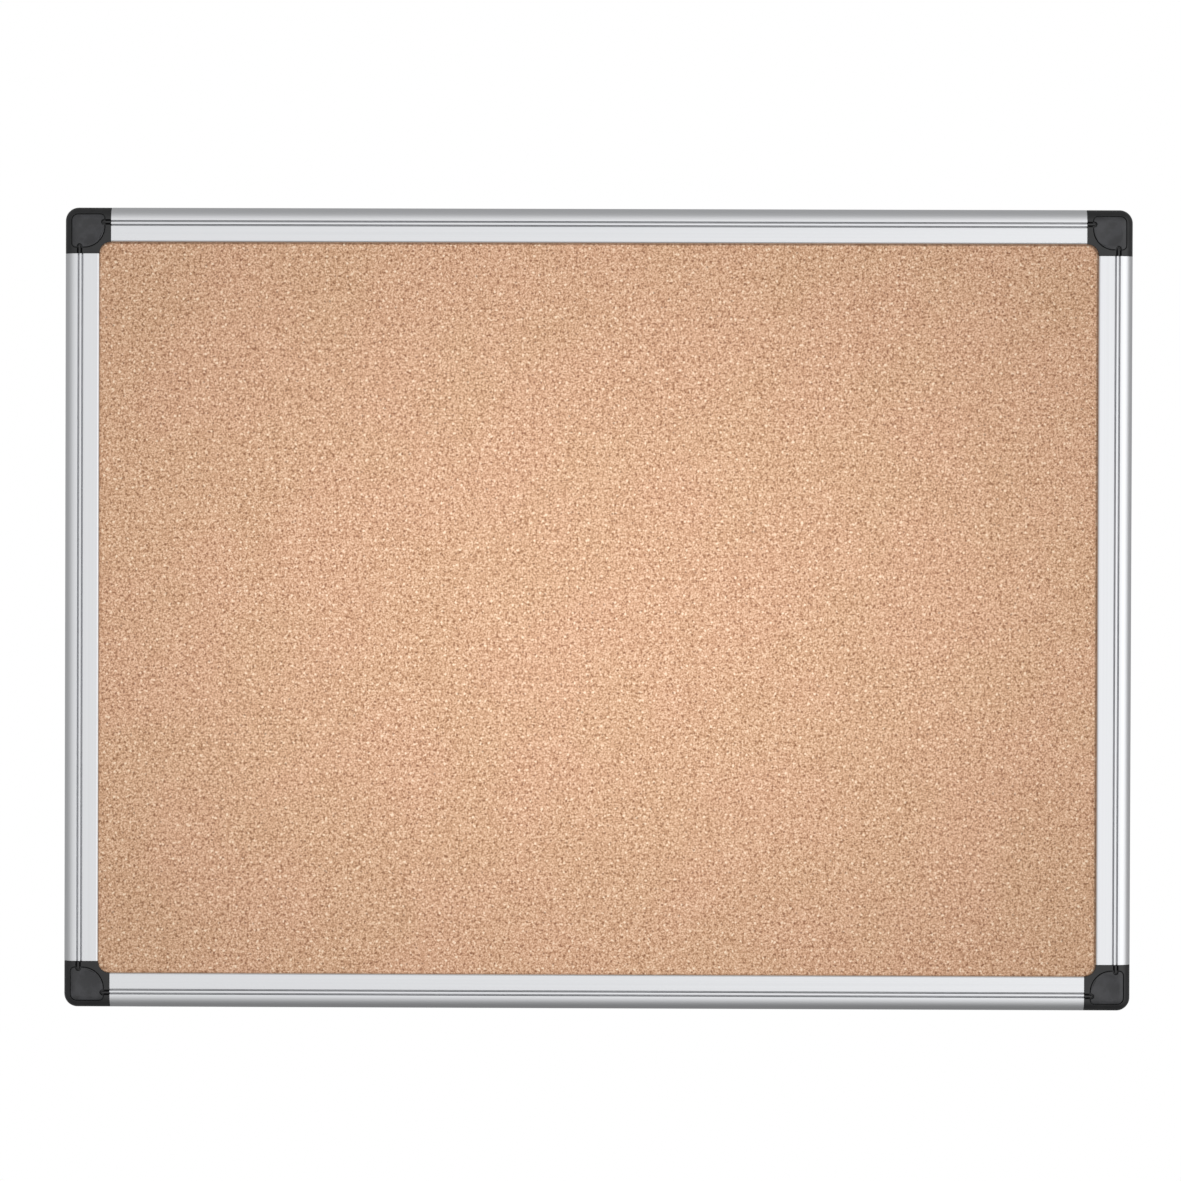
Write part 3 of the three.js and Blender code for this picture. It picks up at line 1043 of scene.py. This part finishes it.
def tongue(turned):
    """A bar with the chamber's section, a little smaller, and a pilot hole for its screw."""
    end = CORNER + TONGUE
    rows = []
    for along, shrink in ((CORNER - PAST, 0.0), (end - LEAD_LONG, 0.0), (end, LEAD_IN)):
        outline = chamber_outline(CAD_GAP + shrink)
        rows.append([(along, -point.y, point.x) for point in outline])
    if turned:
        rows = [[(z, y, x) for x, y, z in row] for row in rows]
    place = (SCREW_INWARD, SCREW_ALONG) if turned else (SCREW_ALONG, SCREW_INWARD)
    return cut(skin("tongue", rows), disc(SHANK_RADIUS + CAD_GAP, 0, PILOT_END, *place, 24))


# %% Mould the corner block
def corner_block():
    block = loft([(block_outline(inset), rise) for inset, rise in edge_rings()])
    cut(block, panel_room(), cover_seat())
    cut(block, *loop_cores())
    cut(block, back_pockets())
    well = disc(WELL_RADIUS, WELL_FLOOR, DEPTH, HOLE_INSET, HOLE_INSET, 40)
    hole = disc(HOLE_RADIUS, -PAST, DEPTH, HOLE_INSET, HOLE_INSET, 32)
    sockets = cover_pegs(PEG_RADIUS + CAD_GAP, COVER_SEAT - PEG_LENGTH, COVER_SEAT + PAST)
    cut(block, well, hole, *sockets)
    join(block, tongue(False), tongue(True))
    return soften(block, 0.16, 2)


block = corner_block()
for turn, side in enumerate(SIDES):
    copy = new_object("block", block.data.copy())
    copy.data.transform(side_place(turn))
    name = "corner_block_" + side["corner"]
    hand_over(copy, name, "frame", ["corner_" + side["corner"]], block_plastic)
print("corner block:", triangles(block), "triangles,", open_edges(block), "open edges")
remove(block)

# %% [markdown]
# # Screw covers
# Each cover fills the seat flush with the block and carries the same rounded edge, so it is cut
# from the same crown. It has a shallow dish for the thumb, is notched round the ends of the groove
# loops and clips in by three pegs. It is a piece of its own, because it comes off to reach the
# wall screw.


# %% Mould the covers
def thumb_dish():
    """A bowl that leaves a shallow round hollow in the middle of the cover."""
    middle = (COVER_START + COVER_END) / 2
    rings = []
    for step in range(1, DISH_STEPS + 2):
        share = step / DISH_STEPS
        outline = circle((middle, middle), DISH_RADIUS * share, 48)
        rings.append((outline, DEPTH - DISH_DEEP * (1 - share * share)))
    rings.append((rings[-1][0], DEPTH + PAST))
    return loft(rings)


def screw_cover():
    underside = DEPTH - COVER_THICK
    crown = loft([(crown_outline(inset), rise) for inset, rise in edge_rings()])
    cover = prism(cover_outline(0), underside, DEPTH + PAST)
    combine(cover, [crown], "INTERSECT")
    cut(cover, thumb_dish(), *upright_bars(*LOOP_SHAPE, 0, DEPTH + 2 * PAST))
    join(cover, *cover_pegs(PEG_RADIUS, underside - PEG_LENGTH, underside + COVER_THICK / 2))
    return soften(cover, 0.2, 3)


cover = screw_cover()
for turn, side in enumerate(SIDES):
    copy = new_object("cover", cover.data.copy())
    copy.data.transform(side_place(turn))
    name = "screw_cover_" + side["corner"]
    body = side["corner"] + "_cover"
    hand_over(copy, name, body, ["cover_" + side["corner"]], cover_plastic)
print("screw cover:", triangles(cover), "triangles,", open_edges(cover), "open edges")
remove(cover)

# %% [markdown]
# # Frame screws
# Eight alike self-tapping screws hold the rails on the tongues. One screw is modelled with its
# thread and its cross recess, and a tree sets it down eight times at the corners of two
# rectangles. Each gets its own turn, because nobody lines up the crosses by hand.

# %% One screw
PITCH = 1.1
THREAD_DEEP = 0.26
THREAD_END = SCREW_LENGTH - 1.6
CORE_RADIUS = SHANK_RADIUS - 0.1
TIP_RADIUS = 0.25
RIM = 0.12
CROSS_TOP = (1.55, 0.36)
CROSS_FOOT = (0.55, 0.24)
CROSS_RISES = (-0.3, 1.35)
ROUND_STEPS = 24


def screw_profile():
    """(radius, rise) from the flat of the head, over its rim and down the cone."""
    return [
        (HEAD_RADIUS - 0.1, 0.0), (HEAD_RADIUS, 0.1), (HEAD_RADIUS, 0.1 + RIM),
        (CORE_RADIUS, HEAD_RADIUS - SHANK_RADIUS + 0.3),
    ]


def screw_rows():
    """Rings down the screw; in the thread each ring climbs one pitch as it goes round."""
    rows = [[(radius, rise)] * ROUND_STEPS for radius, rise in screw_profile()]
    start = screw_profile()[-1][1]
    turns = math.ceil((THREAD_END - start) / PITCH) + 1
    for lap in range(turns):
        for share, height in ((0.0, 0.0), (0.36, 0.0), (0.5, 1.0), (0.64, 0.0)):
            ring = []
            for step in range(ROUND_STEPS):
                rise = start + (lap - 1 + share + step / ROUND_STEPS) * PITCH
                held = min(max(rise, start), THREAD_END)
                fade = min((held - start) / PITCH, (THREAD_END - held) / PITCH, 1.0)
                ring.append((CORE_RADIUS + THREAD_DEEP * height * fade, held))
            rows.append(ring)
    rows.append([(CORE_RADIUS, THREAD_END)] * ROUND_STEPS)
    rows.append([(TIP_RADIUS, SCREW_LENGTH)] * ROUND_STEPS)
    return rows


def bare_screw():
    angles = [2 * math.pi * step / ROUND_STEPS for step in range(ROUND_STEPS)]
    rows = []
    for ring in screw_rows():
        spots = zip(angles, ring)
        rows.append([(radius * math.cos(a), -rise, radius * math.sin(a)) for a, (radius, rise) in spots])
    return skin("screw", rows, weld=0.002)


def cross_recess():
    """Two tapered slots that meet in the middle of the head."""
    top, foot = (box_outline(-x, x, -z, z) for x, z in (CROSS_TOP, CROSS_FOOT))
    slots = ((top, foot), (across(top), across(foot)))
    return [loft([(upper, CROSS_RISES[0]), (lower, CROSS_RISES[1])]) for upper, lower in slots]


screw = cut(bare_screw(), *cross_recess())
shade(screw, 35)
print("one screw:", triangles(screw), "triangles,", open_edges(screw), "open edges")


# %% The tree that sets the screws
def screw_shape():
    shape = Shape("set_screws", {
        "Width": "Float", "Height": "Float", "Along": "Float", "Inward": "Float", "Seed": "Int",
    })
    width = shape.input("Width")
    height = shape.input("Height")
    along = shape.input("Along") * 2.0
    inward = shape.input("Inward") * 2.0
    joined = shape.node("GeometryNodeJoinGeometry")
    for size in ((width - along, height - inward), (width - inward, height - along)):
        sockets = {"Size X": size[0], "Size Y": size[1], "Vertices X": 2, "Vertices Y": 2}
        spots = shape.field("GeometryNodeMeshGrid", {}, sockets)
        upright = shape.field("GeometryNodeTransform", {}, {0: spots, "Rotation": (math.pi / 2, 0.0, 0.0)})
        shape.plug(joined.inputs[0], upright)
    turn = shape.field(
        "FunctionNodeRandomValue", {"data_type": "FLOAT_VECTOR"},
        {"Min": (0.0, 0.0, 0.0), "Max": (0.0, math.pi, 0.0), "Seed": shape.input("Seed")},
    )
    set_down = shape.field(
        "GeometryNodeInstanceOnPoints", {},
        {"Points": joined.outputs[0], "Instance": shape.input("Geometry"), "Rotation": turn},
    )
    shape.end(set_down)
    return shape


screw_shape().run(screw, {
    "Width": WIDTH, "Height": HEIGHT, "Along": SCREW_ALONG, "Inward": SCREW_INWARD, "Seed": 7,
    "Material": zinc,
})
screw.data.transform(Matrix.Scale(MM, 4) @ Matrix.Translation((0, -HEAD_SUNK, 0)))
screw_nodes = [f"screw_{side['corner']}_{letter}" for side in SIDES for letter in "ab"]
hand_over(screw, "frame_screws", "frame", screw_nodes, zinc)
print("frame screws:", triangles(screw), "triangles for", len(screw_nodes), "screws")

# %% [markdown]
# # Cork sheet and kraft back
# Both are sheets cut to the same plan, with the corners taken off to clear the blocks. Neither is
# truly flat: the cork's face is granular to the touch and the paper cockles slightly where the
# glue has pulled it. A fine grid carries that relief, raised by a tree with a fixed field of
# noise. The edges and hidden side stay flat, so the sheets still sit in the rails' slot.


# %% A sheet with a fine face
def sheet_mesh(rises, cell, face_is_front):
    """A closed sheet cut to the panel's plan; its face has square cells of that size."""
    low, high = rises
    half_x = WIDTH / 2 - PANEL_INSET
    half_z = HEIGHT / 2 - PANEL_INSET
    chamfer = (WIDTH + HEIGHT) / 2 - PANEL_CUT - CAD_GAP * math.sqrt(2)
    face, rear = (high, low) if face_is_front else (low, high)
    build = bmesh.new()
    columns = round(2 * half_x / cell)
    rows = round(2 * half_z / cell)
    bmesh.ops.create_grid(build, x_segments=columns, y_segments=rows, size=1.0)
    for vert in build.verts:
        vert.co = Vector((vert.co.x * half_x, -face, vert.co.y * half_z))
    for x in (-1, 1):
        for z in (-1, 1):
            cut_normal = Vector((x, 0, z)).normalized()
            everything = build.verts[:] + build.edges[:] + build.faces[:]
            bmesh.ops.bisect_plane(
                build, geom=everything, dist=0.001, clear_outer=True,
                plane_co=cut_normal * chamfer / math.sqrt(2), plane_no=cut_normal,
            )
    rim = [edge for edge in build.edges if len(edge.link_faces) == 1]
    drawn = bmesh.ops.extrude_edge_only(build, edges=rim)["geom"]
    for vert in (item for item in drawn if isinstance(item, bmesh.types.BMVert)):
        vert.co.y = -rear
    rear_rim = [edge for edge in build.edges if len(edge.link_faces) == 1]
    bmesh.ops.edgeloop_fill(build, edges=rear_rim)
    bmesh.ops.recalc_face_normals(build, faces=build.faces)
    return keep(build, "sheet")


# %% The tree that raises the relief
ON_FACE = 0.01


def relief_shape():
    shape = Shape("relief", {"Face": "Float", "Rear": "Float", "Height": "Float", "Grain": "Float"})
    place = shape.field("GeometryNodeInputPosition")
    depth = shape.parts(place)[1]
    face = shape.input("Face")
    on_face = shape.field(
        "FunctionNodeCompare", {"data_type": "FLOAT", "operation": "LESS_THAN"},
        {0: (depth - face).only("ABSOLUTE"), 1: ON_FACE},
    )
    finer = shape.noise(place, shape.input("Grain"), 2.0, 0.6)
    broad = shape.noise(place, shape.input("Grain") * 0.28, 1.0, 0.5)
    lift = (finer * 0.6 + broad * 0.4 - 0.5) * shape.input("Height")
    away = (face - shape.input("Rear")).only("SIGN")
    offset = shape.field("ShaderNodeCombineXYZ", {}, {"Y": lift * away})
    sockets = {0: shape.input("Geometry"), "Selection": on_face, "Offset": offset}
    shape.end(shape.field("GeometryNodeSetPosition", {}, sockets))
    return shape


# %% Lay the cork and the kraft sheet
relief = relief_shape()


def lay_sheet(rises, face_is_front, cell, height, grain, finish):
    low, high = rises
    face, rear = (-high, -low) if face_is_front else (-low, -high)
    sheet = new_object("sheet", sheet_mesh(rises, cell, face_is_front))
    relief.run(sheet, {
        "Face": face, "Rear": rear, "Height": height, "Grain": grain, "Material": finish,
    })
    shade(sheet, 40)
    sheet.data.transform(Matrix.Scale(MM, 4))
    return sheet


cork_sheet = lay_sheet(CORK_RISE, True, cell=1.7, height=0.34, grain=0.62, finish=cork)
hand_over(cork_sheet, "pinning_cork", "frame", ["cork_sheet"], cork)
kraft_sheet = lay_sheet(KRAFT_RISE, False, cell=6.0, height=0.30, grain=0.018, finish=kraft)
hand_over(kraft_sheet, "kraft_back", "frame", ["backing_sheet"], kraft)
for sheet in (cork_sheet, kraft_sheet):
    print(sheet.name, triangles(sheet), "triangles,", open_edges(sheet), "open edges")

# %% [markdown]
# # Softboard
# The core's plain slab is already its true shape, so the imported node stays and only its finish
# is changed.

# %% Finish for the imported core
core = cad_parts["core_board"]
core.data.materials.clear()
core.data.materials.append(softboard)
print("core finish:", core.data.materials[0].name)

# %% [markdown]
# # Studio
# The board is lit as for a catalogue: one very large soft source in front, a little to the right,
# with the room falling dark above, below and behind the board. Metal shows what it reflects, so
# the world is painted as that room, as a brightness for each direction. It is plain white only
# where the camera looks straight at it. A soft lamp that no gloss sees adds the glow on the cork,
# and another one fills in the back.


# %% The room that the metal reflects
ROOM_BELOW = 0.25
ROOM_ABOVE = 0.41
WINDOW_LEFT = 0.5952
WINDOW_RIGHT = 1.116
DAYLIGHT = (0.990, 0.995, 1.0, 1.0)
WHITE = (1.0, 1.0, 1.0, 1.0)


def studio_world():
    world = bpy.data.worlds.new("studio")
    world.use_nodes = True
    world.node_tree.nodes.clear()
    bpy.context.scene.world = world
    graph = Graph(world.node_tree)
    direction = graph.field("ShaderNodeTexCoord", {}, {}, "Generated")
    right, back, up = graph.parts(direction)
    left_edge = graph.between(right, -1.0, -0.30)
    right_edge = 1.0 - graph.between(right, 0.68, 0.98)
    top_edge = 1.0 - graph.between(up, 0.02, 0.82)
    bottom_edge = graph.between(up, -0.92, -0.05)
    facing = 1.0 - graph.between(back, -0.5, 0.25)
    window = left_edge * right_edge * top_edge * bottom_edge * facing
    shine = WINDOW_LEFT + graph.between(right, -0.05, 0.42) * (WINDOW_RIGHT - WINDOW_LEFT)
    room = ROOM_BELOW + graph.between(up, -0.9, 0.1) * (ROOM_ABOVE - ROOM_BELOW)
    lit = graph.field("ShaderNodeBackground", {}, {"Color": DAYLIGHT, "Strength": room + window * shine})
    plain = graph.field("ShaderNodeBackground", {}, {"Color": WHITE, "Strength": 1.0})
    seen = graph.field("ShaderNodeLightPath", {}, {}, "Is Camera Ray")
    mixed = graph.field("ShaderNodeMixShader", {}, {0: seen, 1: lit, 2: plain})
    graph.node("ShaderNodeOutputWorld", {}, {"Surface": mixed})


studio_world()
print("world:", bpy.context.scene.world.name)


# %% Lamps
def soft_lamp(name, place, wide, high, power, spread):
    """An oval lamp, aimed at the board's middle, that lights matt surfaces but no gloss shows."""
    data = bpy.data.lights.new(name, "AREA")
    data.shape = "ELLIPSE"
    data.spread = math.radians(spread)
    data.size = wide
    data.size_y = high
    data.energy = power
    lamp = new_object(name, data)
    lamp.location = place
    lamp.rotation_euler = (-Vector(place)).to_track_quat("-Z", "Y").to_euler()
    lamp.visible_camera = False
    lamp.visible_glossy = False
    print(name, "power", power)


soft_lamp("front_glow", (0.0, -0.9, 0.0), wide=0.6, high=0.25, power=0.45, spread=52)
soft_lamp("back_fill", (0.9, 1.8, 1.0), wide=1.2, high=1.2, power=26.0, spread=180)

# %% A pale floor, well below the board
FLOOR_DROP = 0.9
FLOOR_RADIUS = 3.3


def floor_finish():
    material, graph = new_finish("pale_floor")
    place = object_place(graph)
    away = graph.vector("LENGTH", place, (0.0, 0.0, 0.0), "Value")
    grain = graph.noise(place, 40.0, 3.0, 0.5)
    paint = graph.blend(grain, (0.80, 0.80, 0.80, 1.0), (0.84, 0.84, 0.84, 1.0))
    matt = graph.field("ShaderNodeBsdfPrincipled", {}, {"Base Color": paint, "Roughness": 0.9})
    clear = graph.field("ShaderNodeBsdfTransparent")
    fade = graph.between(away, 0.3 * FLOOR_RADIUS, 0.98 * FLOOR_RADIUS)
    mixed = graph.field("ShaderNodeMixShader", {}, {0: fade, 1: matt, 2: clear})
    graph.node("ShaderNodeOutputMaterial", {}, {"Surface": mixed})
    return material


build = bmesh.new()
bmesh.ops.create_circle(build, cap_ends=True, segments=96, radius=FLOOR_RADIUS)
floor = new_object("floor", keep(build, "floor"))
floor.location.z = cad_low.z - FLOOR_DROP
floor.data.materials.append(floor_finish())
floor.visible_glossy = False

# %% [markdown]
# # Camera
# The board is seen square on from about two metres, with a long lens. The small turn, tilt and
# roll are those of a camera on a copy stand that was set up by eye.

# %% Camera
CAMERA_PLACE = (0.0091, -2.014, 0.0264)
CAMERA_YAW = -0.375
CAMERA_PITCH = 0.457
CAMERA_ROLL = 0.185
CAMERA_LENS = 108.58


def camera_turn():
    """The camera's right, up and back directions, from its yaw, pitch and roll in degrees."""
    about_up = Matrix.Rotation(math.radians(CAMERA_YAW), 3, "Z")
    about_right = Matrix.Rotation(math.radians(CAMERA_PITCH), 3, "X")
    about_view = Matrix.Rotation(math.radians(CAMERA_ROLL), 3, "Y")
    right, ahead, up = about_view @ about_right @ about_up
    return Matrix((right, up, -ahead)).transposed()


camera_data = bpy.data.cameras.new("camera")
camera_data.sensor_width = 36.0
camera_data.lens = CAMERA_LENS
camera = new_object("camera", camera_data)
camera.matrix_world = Matrix.Translation(CAMERA_PLACE) @ camera_turn().to_4x4()
bpy.context.scene.camera = camera
bpy.context.scene.view_settings.view_transform = "Standard"
print("camera looks along", [round(c, 4) for c in -camera.matrix_world.col[2].to_3d()])

# %% [markdown]
# Size of the imported model. The finished pieces may not stand outside the imported model.
# The imported model's box is printed.

# %% Print the imported model's box
print("cad box", [round(v, 5) for v in (*cad_low, *cad_high)])
